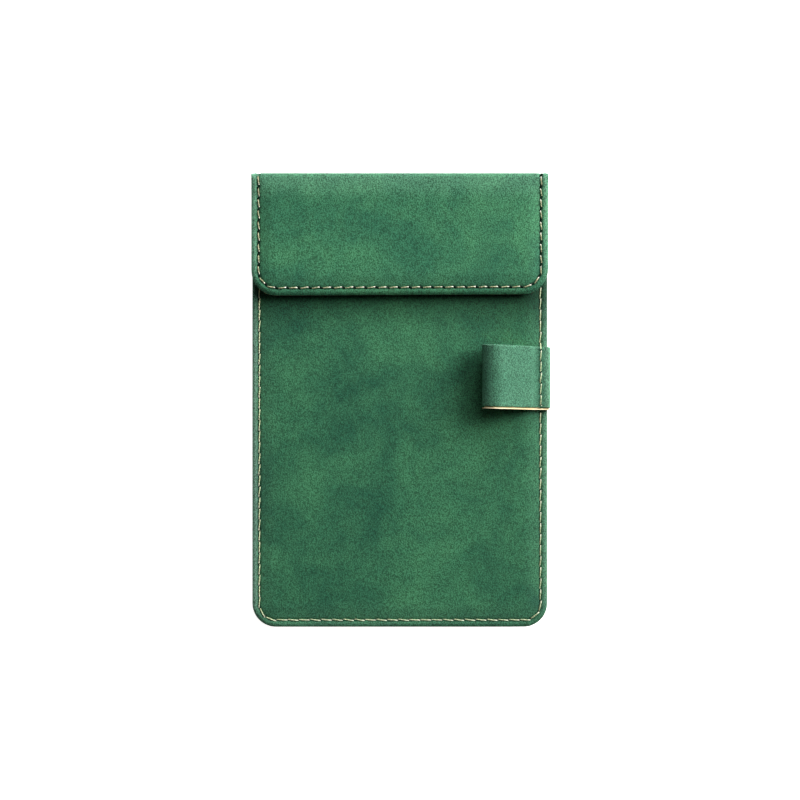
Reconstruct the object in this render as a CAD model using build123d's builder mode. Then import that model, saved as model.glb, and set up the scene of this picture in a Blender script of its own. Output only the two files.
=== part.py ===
from build123d import *
import os
from math import atan, atan2, cos, degrees, sin, tan

# A refillable pocket notebook bound across its head.
# It lies on its back: X runs across the page, Y up the page, Z out of the front.
# The origin is the centre of the back's outer face. All sizes are in millimetres.

# ------------------------------------------------------------ driving dimensions

# Writing pad
pad_width = 76.0
pad_length = 127.0
sheet_stack = 3.8
card_thickness = 0.8
tape_thickness = 0.2
tape_reach = 11.0
staple_wire = 0.5
staple_crown = 12.0
staple_clinch = 4.0
staple_spread = 38.0
staple_inset = 5.0

# How far the covers stand out past the pad
side_margin = 7.0
foot_margin = 4.6
head_margin = 6.4

# Leather, linings and boards
leather = 0.9
lining = 0.6
flap_lining_sheet = 0.5
spine_lining_sheet = 0.5
pocket_sheet = 0.5
back_board_sheet = 1.2
cover_board_sheet = 1.0
flap_board_sheet = 1.0
board_inset = 4.0
board_corner = 3.0
cover_corner = 6.5

# Flap
flap_length = 36.9
flap_corner = 7.0
magnet_radius = 4.0
plate_radius = 5.0
plate_thickness = 0.5
magnet_spread = 52.0
magnet_rise = 10.0

# Pocket for the pad's backing card
pocket_height = 45.0
pocket_rim = 0.9
thumb_notch = 9.0

# Hinge strip that carries the front cover
hinge_sheet = 0.6
hinge_end_inset = 5.0

# Pen loop
loop_width = 19.2
loop_middle = 7.0
loop_reach = 19.9
loop_nose = 4.3
loop_leather = 0.8
loop_lining = 0.3
loop_raw_edge = 0.6
loop_taper_end = 0.6
loop_wrap = 0.9
loop_wrap_reach = 4.0
loop_tail = 1.5

# Seams
seam_inset = 2.0
stitch_pitch = 3.4
stitch_length = 2.6
stitch_width = 0.5
stitch_height = 0.25
groove_width = 1.0
groove_depth = 0.35

# Clearances
card_clearance = 0.3
pad_clearance = 0.2
flap_clearance = 0.4
fold_clearance = 0.1
strip_clearance = 0.2
swing_clearance = 0.7
loop_clearance = 0.2
root_clearance = 0.3

# ------------------------------------------------------------ sizes that follow

half_width = pad_width / 2 + side_margin
head = (pad_length + foot_margin + head_margin) / 2
foot = -head
pad_head = head - head_margin
pad_foot = foot + foot_margin

# Heights, from the table up
back_lining_top = leather + back_board_sheet + lining
card_z = back_lining_top + tape_thickness
pocket_z = card_z + card_thickness
sheets_z = pocket_z + pocket_sheet
pad_top = sheets_z + sheet_stack
cover_z = pad_top + tape_thickness + pad_clearance
cover_board_z = cover_z + lining
cover_margin_top = cover_board_z + leather
cover_top = cover_board_z + cover_board_sheet + leather
flap_z = cover_top + flap_clearance
flap_board_z = flap_z + flap_lining_sheet
flap_margin_top = flap_board_z + leather
book_top = flap_board_z + flap_board_sheet + leather

# Boards and the leather that steps up over them
board_half = half_width - board_inset
board_foot = foot + board_inset
crown_half = board_half + leather
crown_foot = board_foot - leather

# Spine, hinge strip and the front cover's hinge line
spine_inner = head - leather
spine_lining_inner = spine_inner - spine_lining_sheet
strip_outer = spine_lining_inner - strip_clearance
strip_inner = strip_outer - hinge_sheet
strip_foot = pad_head + tape_thickness + pad_clearance
strip_half = half_width - hinge_end_inset
hinge_y = strip_outer - hinge_sheet / 2
hinge_z = cover_z + swing_clearance
cover_head = hinge_y - swing_clearance
cover_board_head = cover_head - leather

# Flap
flap_foot = head - flap_length
flap_board_foot = flap_foot + board_inset
flap_lining_head = spine_lining_inner - root_clearance
flap_board_head = flap_lining_head - leather
magnet_y = flap_foot + magnet_rise

# Pen loop
loop_foot = loop_middle - loop_width / 2
loop_head = loop_middle + loop_width / 2
nose_x = half_width - loop_reach + loop_nose
loop_z = cover_top + loop_clearance
nose_z = loop_z + loop_nose
loop_hinge_x = crown_half + loop_clearance
root_x = loop_hinge_x - fold_clearance
tail_x = loop_hinge_x + root_clearance
taper_x = half_width - loop_taper_end
loop_slope = 2 * atan(loop_nose / (taper_x - nose_x))
root_height = (taper_x - root_x) * tan(loop_slope)
loop_hinge_z = loop_z + root_height / 2
tail_top = cover_margin_top + loop_tail


# ------------------------------------------------------------ shared shapes

def slab(half, bottom, top, corner, z, thickness, mode=Mode.ADD):
    """A flat sheet, square at its head and rounded at its two foot corners."""
    with BuildSketch(Plane.XY.offset(z)) as outline:
        with Locations((0, (bottom + top) / 2)):
            Rectangle(2 * half, top - bottom)
        fillet(outline.vertices().group_by(Axis.Y)[0], corner)
    extrude(outline.sketch, amount=thickness, mode=mode)


def bar(points, half, mode=Mode.ADD):
    """A section given as (y, z) points, run across the book."""
    with BuildSketch(Plane.YZ) as section:
        with BuildLine():
            Polyline(*points, close=True)
        make_face()
    extrude(section.sketch, amount=half, both=True, mode=mode)


def stitch_places(half, bottom, top, corner, z):
    """Evenly spaced stitches down one side, round the foot and up the other."""
    with BuildLine(mode=Mode.PRIVATE) as seam:
        FilletPolyline((-half, top), (-half, bottom), (half, bottom), (half, top), radius=corner)
    path = seam.wires()[0]
    count = round(path.length / stitch_pitch)
    places = []
    for index in range(count):
        at = (index + 0.5) / count
        point = path @ at
        along = path % at
        turn = degrees(atan2(along.Y, along.X))
        places.append(Location((point.X, point.Y, z), (0, 0, turn)))
    return places


def stitches(places):
    """One short flat bar of thread at each place."""
    with Locations(*places):
        Box(stitch_length, stitch_width, stitch_height, align=(Align.CENTER, Align.CENTER, Align.MIN))


def staples(mode=Mode.ADD):
    """Two wire staples: a crown on the sheets, two legs and a clinch under the card."""
    staple_y = pad_head - staple_inset
    leg_x = (staple_crown - staple_wire) / 2
    leg_height = pad_top - card_z
    clinch_x = (staple_crown - staple_clinch) / 2
    for x in (-staple_spread / 2, staple_spread / 2):
        with Locations((x, staple_y, pad_top)):
            Box(staple_crown, staple_wire, staple_wire, align=(Align.CENTER, Align.CENTER, Align.MAX), mode=mode)
        with Locations((x - leg_x, staple_y, card_z), (x + leg_x, staple_y, card_z)):
            Box(staple_wire, staple_wire, leg_height, align=(Align.CENTER, Align.CENTER, Align.MIN), mode=mode)
        with Locations((x - clinch_x, staple_y, card_z), (x + clinch_x, staple_y, card_z)):
            Box(staple_clinch, staple_wire, staple_wire, align=(Align.CENTER, Align.CENTER, Align.MIN), mode=mode)


def discs(radius, z, thickness, mode=Mode.ADD):
    """Two round discs, side by side under the flap's lower edge."""
    with BuildSketch(Plane.XY.offset(z)) as pair:
        with Locations((-magnet_spread / 2, magnet_y), (magnet_spread / 2, magnet_y)):
            Circle(radius)
    extrude(pair.sketch, amount=thickness, mode=mode)


def teardrop(inset, mode=Mode.ADD):
    """Section of the pen loop: a round nose between a flat foot and a sloping top that meet beyond the seam."""
    radius = loop_nose - inset
    point_x = nose_x + radius / tan(loop_slope / 2)
    with Locations((nose_x, nose_z)):
        Circle(radius, mode=mode)
    with BuildLine() as wedge:
        Polyline(
            (nose_x, nose_z - radius),
            (point_x, nose_z - radius),
            (nose_x + radius * sin(loop_slope), nose_z + radius * cos(loop_slope)),
            (nose_x, nose_z),
            close=True,
        )
    make_face(wedge.edges(), mode=mode)


def loop_layer(outer_inset, inner_inset, bottom, top):
    """One layer of the pen loop, cut off square at its root."""
    with BuildSketch(Plane.XZ.offset(-top)) as layer:
        teardrop(outer_inset)
        teardrop(inner_inset, mode=Mode.SUBTRACT)
        with Locations((root_x, loop_z)):
            Rectangle(side_margin, 2 * loop_nose, align=(Align.MIN, Align.MIN), mode=Mode.SUBTRACT)
    extrude(layer.sketch, amount=top - bottom)


def seam_groove(half, bottom, top, corner, z):
    """A shallow channel along a seam that runs down one side, round the foot and up the other."""
    with BuildSketch(Plane.XY.offset(z)) as channel:
        for reach, mode in ((groove_width / 2, Mode.ADD), (-groove_width / 2, Mode.SUBTRACT)):
            with BuildLine():
                FilletPolyline(
                    (-half - reach, top),
                    (-half - reach, bottom - reach),
                    (half + reach, bottom - reach),
                    (half + reach, top),
                    radius=corner + reach,
                )
                Line((half + reach, top), (-half - reach, top))
            make_face(mode=mode)
    extrude(channel.sketch, amount=groove_depth, mode=Mode.SUBTRACT)


# ------------------------------------------------------------ back cover

seam_half = half_width - seam_inset
seam_foot = foot + seam_inset
seam_corner = cover_corner - seam_inset
seam_head = head - leather - stitch_length / 2

with BuildPart() as back_leather:
    slab(half_width, foot, head, cover_corner, 0, leather)
    bar(((head, 0), (head, leather), (spine_inner, leather)), half_width, mode=Mode.SUBTRACT)
    seam_groove(seam_half, seam_foot, spine_inner, seam_corner, 0)
back_leather.part.label = "back_leather"

with BuildPart() as back_seam:
    stitches(stitch_places(seam_half, seam_foot, seam_head, seam_corner, groove_depth - stitch_height))
back_seam.part.label = "back_seam"

with BuildPart() as back_board:
    slab(board_half, board_foot, strip_inner, board_corner, leather, back_board_sheet)
back_board.part.label = "back_board"

with BuildPart() as back_lining:
    slab(half_width, foot, strip_outer, cover_corner, leather, lining)
    slab(
        board_half + lining, board_foot - lining, strip_outer, board_corner + lining, leather, back_board_sheet + lining
    )
    slab(board_half, board_foot, strip_inner, board_corner, leather, back_board_sheet, mode=Mode.SUBTRACT)
back_lining.part.label = "back_lining"

with BuildPart() as pad_pocket:
    cavity_half = pad_width / 2 + card_clearance
    slab(
        board_half, pad_foot - card_clearance - pocket_rim, pad_foot + pocket_height, board_corner,
        back_lining_top, sheets_z - back_lining_top,
    )
    with BuildSketch(Plane.XY.offset(back_lining_top)):
        with Locations((0, pad_foot - card_clearance)):
            Rectangle(2 * cavity_half, pocket_height + 2 * card_clearance, align=(Align.CENTER, Align.MIN))
    extrude(amount=pocket_z - back_lining_top, mode=Mode.SUBTRACT)
    with BuildSketch(Plane.XY.offset(back_lining_top)):
        with Locations((0, pad_foot + pocket_height)):
            Circle(thumb_notch)
    extrude(amount=sheets_z - back_lining_top, mode=Mode.SUBTRACT)
pad_pocket.part.label = "pad_pocket"

with BuildPart() as hinge_strip_fixed:
    bar(
        (
            (strip_foot, back_lining_top),
            (strip_outer, back_lining_top),
            (strip_outer, hinge_z - strip_clearance),
            (strip_inner, hinge_z - strip_clearance),
            (strip_inner, back_lining_top + hinge_sheet),
            (strip_foot, back_lining_top + hinge_sheet),
        ),
        strip_half,
    )
hinge_strip_fixed.part.label = "hinge_strip_fixed"

# ------------------------------------------------------------ writing pad

with BuildPart() as pad_card:
    with Locations((0, pad_head, card_z)):
        Box(pad_width, pad_length, card_thickness, align=(Align.CENTER, Align.MAX, Align.MIN))
    staples(mode=Mode.SUBTRACT)
pad_card.part.label = "pad_card"

with BuildPart() as pad_sheets:
    with Locations((0, pad_head, sheets_z)):
        Box(pad_width, pad_length, sheet_stack, align=(Align.CENTER, Align.MAX, Align.MIN))
    staples(mode=Mode.SUBTRACT)
pad_sheets.part.label = "pad_sheets"

with BuildPart() as pad_staples:
    staples()
pad_staples.part.label = "pad_staples"

with BuildPart() as pad_tape:
    bar(
        (
            (pad_head - tape_reach, pad_top),
            (pad_head - tape_reach, pad_top + tape_thickness),
            (pad_head + tape_thickness, pad_top + tape_thickness),
            (pad_head + tape_thickness, back_lining_top),
            (pad_head - tape_reach, back_lining_top),
            (pad_head - tape_reach, card_z),
            (pad_head, card_z),
            (pad_head, pad_top),
        ),
        pad_width / 2,
    )
pad_tape.part.label = "pad_tape"

# ------------------------------------------------------------ spine

with BuildPart() as spine_leather:
    bar(
        (
            (head, fold_clearance),
            (head, book_top - fold_clearance),
            (spine_inner, book_top - leather - fold_clearance),
            (spine_inner, leather + fold_clearance),
        ),
        half_width,
    )
    with BuildSketch(Plane.XZ.offset(-head)):
        with Locations((-seam_half, book_top / 2), (seam_half, book_top / 2)):
            Rectangle(groove_width, book_top)
    extrude(amount=groove_depth, mode=Mode.SUBTRACT)
spine_leather.part.label = "spine_leather"

with BuildPart() as spine_lining_strip:
    spine_lining_foot = leather + lining + fold_clearance
    spine_lining_head = flap_z - fold_clearance
    bar(
        (
            (spine_lining_inner, spine_lining_foot),
            (spine_inner, spine_lining_foot),
            (spine_inner, spine_lining_head),
            (spine_lining_inner, spine_lining_head),
        ),
        half_width,
    )
spine_lining_strip.part.label = "spine_lining"

with BuildPart() as spine_seam:
    spine_stitches = round(book_top / stitch_pitch)
    for x in (-seam_half, seam_half):
        for index in range(spine_stitches):
            with Locations((x, head - groove_depth, (index + 0.5) * book_top / spine_stitches)):
                Box(stitch_width, stitch_height, stitch_length, align=(Align.CENTER, Align.MIN, Align.CENTER))
spine_seam.part.label = "spine_seam"

# ------------------------------------------------------------ flap

with BuildPart() as flap_leather:
    slab(half_width, flap_foot, flap_lining_head, flap_corner, flap_board_z, leather)
    slab(crown_half, flap_board_foot - leather, head, board_corner + leather, flap_board_z, book_top - flap_board_z)
    bar(
        (
            (flap_board_head, flap_board_z),
            (head, flap_board_z),
            (head, book_top),
            (flap_board_head, book_top),
        ),
        half_width,
    )
    slab(board_half, flap_board_foot, head, board_corner, flap_board_z, flap_board_sheet, mode=Mode.SUBTRACT)
    bar(
        (
            (flap_lining_head, flap_board_z),
            (head, flap_board_z),
            (head, book_top),
            (spine_inner, book_top - leather),
            (flap_lining_head, book_top - leather),
        ),
        half_width,
        mode=Mode.SUBTRACT,
    )
flap_leather.part.label = "flap_leather"

with BuildPart() as flap_board:
    slab(board_half, flap_board_foot, flap_board_head, board_corner, flap_board_z, flap_board_sheet)
    discs(magnet_radius, flap_board_z, flap_board_sheet, mode=Mode.SUBTRACT)
flap_board.part.label = "flap_board"

with BuildPart() as flap_magnets:
    discs(magnet_radius, flap_board_z, flap_board_sheet)
flap_magnets.part.label = "flap_magnets"

with BuildPart() as flap_lining:
    slab(half_width, flap_foot, flap_lining_head, flap_corner, flap_z, flap_lining_sheet)
flap_lining.part.label = "flap_lining"

with BuildPart() as flap_seam:
    flap_seam_head = flap_board_head - stitch_length / 2
    stitches(
        stitch_places(seam_half, flap_foot + seam_inset, flap_seam_head, flap_corner - seam_inset, flap_margin_top)
    )
flap_seam.part.label = "flap_seam"

# ------------------------------------------------------------ front cover

with BuildPart() as front_leather:
    slab(half_width, foot, cover_head, cover_corner, cover_board_z, leather)
    slab(crown_half, crown_foot, cover_head, board_corner + leather, cover_board_z, cover_top - cover_board_z)
    slab(board_half, board_foot, cover_board_head, board_corner, cover_board_z, cover_board_sheet, mode=Mode.SUBTRACT)
front_leather.part.label = "front_leather"

with BuildPart() as front_board:
    slab(board_half, board_foot, cover_board_head, board_corner, cover_board_z, cover_board_sheet)
    plate_z = cover_board_z + cover_board_sheet - plate_thickness
    discs(plate_radius, plate_z, plate_thickness, mode=Mode.SUBTRACT)
front_board.part.label = "front_board"

with BuildPart() as strike_plates:
    discs(plate_radius, plate_z, plate_thickness)
strike_plates.part.label = "strike_plates"

with BuildPart() as front_lining:
    slab(half_width, foot, cover_head, cover_corner, cover_z, lining)
front_lining.part.label = "front_lining"

with BuildPart() as hinge_strip_moving:
    bar(
        (
            (strip_foot, cover_z - hinge_sheet),
            (cover_head, cover_z - hinge_sheet),
            (cover_head, cover_z),
            (strip_foot, cover_z),
        ),
        strip_half,
    )
hinge_strip_moving.part.label = "hinge_strip_moving"

with BuildPart() as front_seam:
    on_leather = []
    on_loop = []
    reach = (loop_width + stitch_length) / 2 + fold_clearance
    for place in stitch_places(seam_half, seam_foot, cover_head - stitch_length, seam_corner, cover_margin_top):
        crosses_loop = place.position.X > 0 and abs(place.position.Y - loop_middle) < reach
        if crosses_loop:
            on_loop.append(Pos(0, 0, loop_tail) * place)
        else:
            on_leather.append(place)
    stitches(on_leather)
    stitches(on_loop)
front_seam.part.label = "front_seam"

# ------------------------------------------------------------ pen loop

with BuildPart() as pen_loop_anchor:
    with BuildSketch(Plane.XZ.offset(-loop_head)) as wrap:
        with BuildLine():
            Polyline(
                (tail_x, cover_margin_top),
                (half_width, cover_margin_top),
                (half_width, cover_z),
                (half_width - loop_wrap_reach, cover_z),
                (half_width - loop_wrap_reach, cover_z - loop_wrap),
                (half_width + loop_wrap, cover_z - loop_wrap),
                (half_width + loop_wrap, tail_top),
                (tail_x, tail_top),
                close=True,
            )
        make_face()
        fillet(wrap.vertices().group_by(Axis.X)[-1], loop_wrap - fold_clearance)
    extrude(amount=loop_width)
pen_loop_anchor.part.label = "pen_loop_anchor"

with BuildPart() as pen_loop_leather:
    loop_layer(0, loop_leather, loop_foot + loop_raw_edge, loop_head)
pen_loop_leather.part.label = "pen_loop_leather"

with BuildPart() as pen_loop_lining:
    loop_layer(loop_leather, loop_leather + loop_lining, loop_foot, loop_head)
pen_loop_lining.part.label = "pen_loop_lining"

# ------------------------------------------------------------ files

pieces = (
    back_leather, back_seam, back_board, back_lining, pad_pocket, hinge_strip_fixed,
    pad_card, pad_sheets, pad_staples, pad_tape,
    spine_leather, spine_lining_strip, spine_seam,
    flap_leather, flap_board, flap_magnets, flap_lining, flap_seam,
    front_leather, front_board, strike_plates, front_lining, hinge_strip_moving, front_seam,
    pen_loop_anchor, pen_loop_leather, pen_loop_lining,
)

os.makedirs("parts", exist_ok=True)
for piece in pieces:
    export_step(piece.part, f"parts/{piece.part.label}.step")

print(f"book {2 * half_width:.2f} x {2 * head:.2f} x {book_top:.2f}")
print(f"cover hinge y {hinge_y:.3f} z {hinge_z:.3f}")
print(f"pen loop hinge x {loop_hinge_x:.3f} z {loop_hinge_z:.3f}, slope {degrees(loop_slope):.2f}")
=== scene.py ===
from math import asin, atan2, cos, exp, hypot, pi, sin, tan

import bmesh
import bpy
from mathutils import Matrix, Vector, noise


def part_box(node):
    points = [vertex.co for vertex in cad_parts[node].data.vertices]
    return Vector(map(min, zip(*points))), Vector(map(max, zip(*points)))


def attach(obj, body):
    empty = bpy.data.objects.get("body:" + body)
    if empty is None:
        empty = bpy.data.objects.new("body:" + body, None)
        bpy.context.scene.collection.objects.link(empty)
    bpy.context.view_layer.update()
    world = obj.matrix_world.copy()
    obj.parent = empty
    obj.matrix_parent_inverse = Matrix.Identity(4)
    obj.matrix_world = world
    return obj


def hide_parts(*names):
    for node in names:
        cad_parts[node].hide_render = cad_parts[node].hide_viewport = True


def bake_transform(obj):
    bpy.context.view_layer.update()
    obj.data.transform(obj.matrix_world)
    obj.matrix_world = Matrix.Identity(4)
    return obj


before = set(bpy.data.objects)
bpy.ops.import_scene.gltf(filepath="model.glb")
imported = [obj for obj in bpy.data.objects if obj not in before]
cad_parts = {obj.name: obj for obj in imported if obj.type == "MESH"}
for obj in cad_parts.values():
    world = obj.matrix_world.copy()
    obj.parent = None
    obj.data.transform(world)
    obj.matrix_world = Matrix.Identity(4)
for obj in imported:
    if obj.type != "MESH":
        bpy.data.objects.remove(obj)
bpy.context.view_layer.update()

# A leather pocket notebook, lying on its back. X runs across the page, Y up the page, Z out of the front.
# Shapes are worked out in millimetres and made into meshes in metres.

MM = 0.001


def node_box(node):
    """A construction node's lowest and highest corners, in millimetres."""
    low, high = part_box(node)
    return [value / MM for value in low], [value / MM for value in high]


# ------------------------------------------------------------ sizes taken from the construction

back_low, back_high = node_box("back_leather")
flap_low, flap_high = node_box("flap_leather")
front_low, front_high = node_box("front_leather")
back_lining_low, back_lining_high = node_box("back_lining")
front_lining_low, front_lining_high = node_box("front_lining")
flap_lining_low, flap_lining_high = node_box("flap_lining")
spine_lining_low, _ = node_box("spine_lining")
_, front_board_high = node_box("front_board")
sheets_low, sheets_high = node_box("pad_sheets")
tape_low, tape_high = node_box("pad_tape")
staples_low, staples_high = node_box("pad_staples")
pocket_low, pocket_high = node_box("pad_pocket")
strip_low, strip_high = node_box("hinge_strip_fixed")
leg_low, leg_high = node_box("hinge_strip_moving")
wrap_low, wrap_high = node_box("pen_loop_anchor")
loop_low, loop_high = node_box("pen_loop_leather")
loop_edge_low, _ = node_box("pen_loop_lining")

HALF = back_high[0]
HEAD = back_high[1]
FOOT = back_low[1]
TOP = flap_high[2]
MID_SPINE = TOP / 2
LEATHER = back_high[2] - back_low[2]
BOARD_INSET = HALF - front_board_high[0]

# ------------------------------------------------------------ sizes of the finish

COVER_CORNER = 7.2
FLAP_CORNER = 7.7
BOARD_CORNER = 3.0
FOLD_RADIUS = 1.0
LINING_TURN = 0.8
# How much of the step up to the board shows through the leather, which is skived at its edges.
FRONT_STEP_SHARE = 0.42
FLAP_STEP_SHARE = 0.62
# The slope up to the board starts outside its edge and ends inside it.
SLOPE_START = -2.0
SLOPE_END = 2.6
# Leather and lining stop a little short of the piece that they lie on.
BED_GAP = 0.03
LEATHER_SHARE = 0.94
LINING_SHARE = 0.9
LINING_ROWS = {"row_step": 2.0, "column_step": 4.0}
SEAM_INSET = 2.15
FLAP_SEAM_INSET = 2.25
PITCH = 3.38
VALLEY_DEPTH = 0.26
VALLEY_WIDTH = 0.42
PULL_DEPTH = 0.10
PULL_WIDTH = 1.1
EDGE_ROLL = 1.1
EDGE_DROP = 0.5
# The flap's foot edge and the pen loop run a little out of square, by a share of the way across.
FLAP_SKEW = 0.005
FLAP_SKEW_REACH = 30.0
LOOP_SKEW = 0.03
# The loop is green down to its skin's depth, and below that its cut edge is bare.
LOOP_THICK = 0.98
LOOP_SKIN = 0.7
RAW_LIP = 0.16
# The loop's strip is this share thinner where its layers are sewn together.
STACK_THIN = 0.27
STACK_X = HALF - 2.9
WANDER_SEED = 11


# ------------------------------------------------------------ small mesh kit

def smooth_step(low, high, value):
    """0 below low, 1 above high, and an even S between them."""
    t = min(max((value - low) / (high - low), 0.0), 1.0)
    return t * t * (3.0 - 2.0 * t)


def link(obj):
    bpy.context.scene.collection.objects.link(obj)
    return obj


def mesh_piece(name, points, faces, material, attributes=None):
    """A smooth-shaded object from points in millimetres, with optional values at its points."""
    mesh = bpy.data.meshes.new(name)
    mesh.from_pydata([(x * MM, y * MM, z * MM) for x, y, z in points], [], faces)
    for label, values in (attributes or {}).items():
        layer = mesh.attributes.new(label, "FLOAT", "POINT")
        layer.data.foreach_set("value", values)
    mesh.materials.append(material)
    work = bmesh.new()
    work.from_mesh(mesh)
    bmesh.ops.recalc_face_normals(work, faces=work.faces)
    for face in work.faces:
        face.smooth = True
    work.to_mesh(mesh)
    work.free()
    mesh.update()
    return link(bpy.data.objects.new(name, mesh))


def spaced(low, high, step):
    """Evenly spaced values from low up to, but not including, high."""
    count = max(1, round((high - low) / step))
    return [low + (high - low) * index / count for index in range(count)]


def falling(high, low, step):
    """Evenly spaced values from high down to, but not including, low."""
    return [-value for value in spaced(-high, -low, step)]


def arc(middle, radius, start, turn, step):
    """Points round a middle, from a start angle through a turn, either way round, short of its end."""
    way = 1.0 if turn > 0.0 else -1.0
    angles = [start + way * a for a in spaced(0.0, abs(turn), step)]
    return [(middle[0] + radius * cos(a), middle[1] + radius * sin(a)) for a in angles]


def bell(off):
    """1 at no distance, falling off evenly on both sides."""
    return exp(-off * off)


def sheet_faces(wide, tall):
    """The faces of a closed sheet: a grid of outer points, the same grid of inner ones, and the edge."""
    count = wide * tall
    faces = []
    for row in range(tall - 1):
        for column in range(wide - 1):
            a = row * wide + column
            faces.append((a, a + 1, a + wide + 1, a + wide))
            faces.append((count + a, count + a + wide, count + a + wide + 1, count + a + 1))
    border = list(range(wide)) + [row * wide + wide - 1 for row in range(1, tall)]
    border += [(tall - 1) * wide + column for column in range(wide - 2, -1, -1)]
    border += [row * wide for row in range(tall - 2, 0, -1)]
    for first, second in zip(border, border[1:] + border[:1]):
        faces.append((first, count + first, count + second, second))
    return faces


def without_repeats(line):
    """The same line with no point set twice in one place."""
    kept = line[:1]
    for point in line[1:]:
        if hypot(point[0] - kept[-1][0], point[1] - kept[-1][1]) > 0.01:
            kept.append(point)
    return kept


def side_ways(line):
    """The unit way square to a line of points, at each point."""
    ways = []
    last = len(line) - 1
    for index in range(len(line)):
        first_a, first_b = line[max(index - 1, 0)]
        next_a, next_b = line[min(index + 1, last)]
        length = hypot(next_a - first_a, next_b - first_b) or 1.0
        ways.append(((next_b - first_b) / length, -(next_a - first_a) / length))
    return ways


# ------------------------------------------------------------ leather panels

class Panel:
    """A sheet laid out flat, x across and v up from its foot edge, then bent along a path of (y, z).

    The foot corners are round and the sides straight. path(v) gives a point and the way that the
    outer face looks there; height(x, v) lifts the outer face along that way. bed(x, v) is the height of
    what the sheet lies on, where its thickness changes. wear(x, v) says how rubbed it is. open_head is
    true where the head is a free edge, and skew turns the foot edge by a share of x.
    """

    TURNED_IN = 0.12

    def __init__(
        self, half, length, corner, path, height, thickness, open_head=False, bed=None, wear=None, skew=0.0,
    ):
        self.half = half
        self.length = length
        self.corner = corner
        self.path = path
        self.height = height
        self.thickness = thickness
        self.open_head = open_head
        self.bed = bed
        self.wear = wear or (lambda x, v: 1.0)
        self.skew = skew

    def rim(self, x, v):
        """Distance in from the sides and the foot, or from every edge if the head is an edge too."""
        return edge_distance(self.half, self.corner, self.length if self.open_head else None, x, v)

    def at(self, x, v, lift):
        y, z, out_y, out_z = self.path(v)
        y += self.skew * x * (1.0 - smooth_step(0.0, FLAP_SKEW_REACH, v))
        return (x, y + out_y * lift, z + out_z * lift)

    def surface(self, x, v, lift=0.0):
        return self.at(x, v, self.height(x, v) + lift)

    def grid(self, row_step, column_step):
        """Rows of v, and columns as shares of the width, close together near the edges."""
        corner_rows = 18
        fine_head = 1.2
        rows = [self.corner * (1.0 - cos(index / corner_rows * pi / 2)) for index in range(corner_rows)]
        rows += spaced(self.corner, self.length - fine_head, row_step)
        rows += spaced(self.length - fine_head, self.length, 0.2) + [self.length]
        edge_columns = [0.0, 0.08, 0.2, 0.35, 0.55, 0.8, 1.1, 1.35, 1.55, 1.75, 1.95, 2.15, 2.35, 2.6]
        edge_columns += [2.9, 3.2, 3.5, 3.8, 4.1, 4.4, 4.7, 5.0, 5.3, 5.7, 6.2]
        right = [1.0 - value / self.half for value in edge_columns]
        inner = spaced(0.0, right[-1], column_step / self.half)
        half_columns = inner + right[::-1]
        columns = [-value for value in half_columns[:0:-1]] + half_columns
        return rows, columns

    def half_at(self, v):
        if v >= self.corner:
            return self.half
        return self.half - self.corner + (self.corner ** 2 - (self.corner - v) ** 2) ** 0.5

    def build(self, name, material, row_step=PITCH / 4, column_step=1.6):
        rows, columns = self.grid(row_step, column_step)
        outer, inner, rims, folds, wears = [], [], [], [], []
        for v in rows:
            half_here = self.half_at(v)
            for share in columns:
                x = share * half_here
                lift = self.height(x, v)
                rim = self.rim(x, v)
                under = self.TURNED_IN * (1.0 - smooth_step(0.0, 0.3, rim))
                outer.append(self.at(x, v, lift))
                depth = lift - self.thickness * (1.0 - under) + under
                if self.bed is not None:
                    depth = min(self.bed(x, v) + under, lift - self.TURNED_IN)
                inner.append(self.at(x, v, depth))
                wears.append(self.wear(x, v))
                rims.append(rim)
                folds.append(v)
        faces = sheet_faces(len(columns), len(rows))
        values = {"rim": rims * 2, "fold": folds * 2, "wear": wears * 2}
        return mesh_piece(name, outer + inner, faces, material, values)

    def seam(self, inset, top, lift, step=0.4):
        """Points along a seam that runs down the left side, round the foot and up the right side."""
        radius = self.corner - inset
        side = self.half - inset
        flat = self.half - self.corner
        points = [(-side, v) for v in falling(top, self.corner, step)]
        points += arc((-flat, self.corner), radius, pi, pi / 2, step / radius)
        points += [(x, inset) for x in spaced(-flat, flat, step)]
        points += arc((flat, self.corner), radius, -pi / 2, pi / 2, step / radius)
        points += [(side, v) for v in spaced(self.corner, top, step)] + [(side, top)]
        return [self.surface(x, v, lift) for x, v in points]


def edge_distance(half, corner, length, x, v):
    """Distance in from the outline of a panel with round foot corners."""
    ax = abs(x)
    if v < corner and ax > half - corner:
        inside = corner - hypot(ax - (half - corner), corner - v)
    else:
        inside = min(half - ax, v)
    if length is not None:
        inside = min(inside, length - v)
    return max(inside, 0.0)


def board_lift(half, length, x, v):
    """How far a sheet has risen over the board inside it: 0 on the sewn margin, 1 over the board."""
    ax = abs(x)
    side = half - BOARD_INSET
    up = v - BOARD_INSET
    if up < BOARD_CORNER and ax > side - BOARD_CORNER:
        inside = BOARD_CORNER - hypot(ax - (side - BOARD_CORNER), BOARD_CORNER - up)
    else:
        inside = min(side - ax, up)
    if length is not None:
        inside = min(inside, length - v - 1.0)
    return smooth_step(SLOPE_START, SLOPE_END, inside)


def over_board_at(x, v, length):
    """Whether there is board, rather than only lining, under a point of the leather."""
    off_head = length is None or v < length - 0.8
    return abs(x) < HALF - BOARD_INSET + 0.1 and v > BOARD_INSET - 0.1 and off_head


def seam_place(panel_half, corner, inset, x, v):
    """How far along the seam the nearest stitch hole is, from the middle of the foot."""
    ax = abs(x)
    flat = panel_half - corner
    if v < corner and ax > flat:
        return flat + (corner - inset) * atan2(ax - flat, corner - v)
    if v >= corner and panel_half - ax < v:
        return flat + (corner - inset) * pi / 2 + v - corner
    return ax


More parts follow.
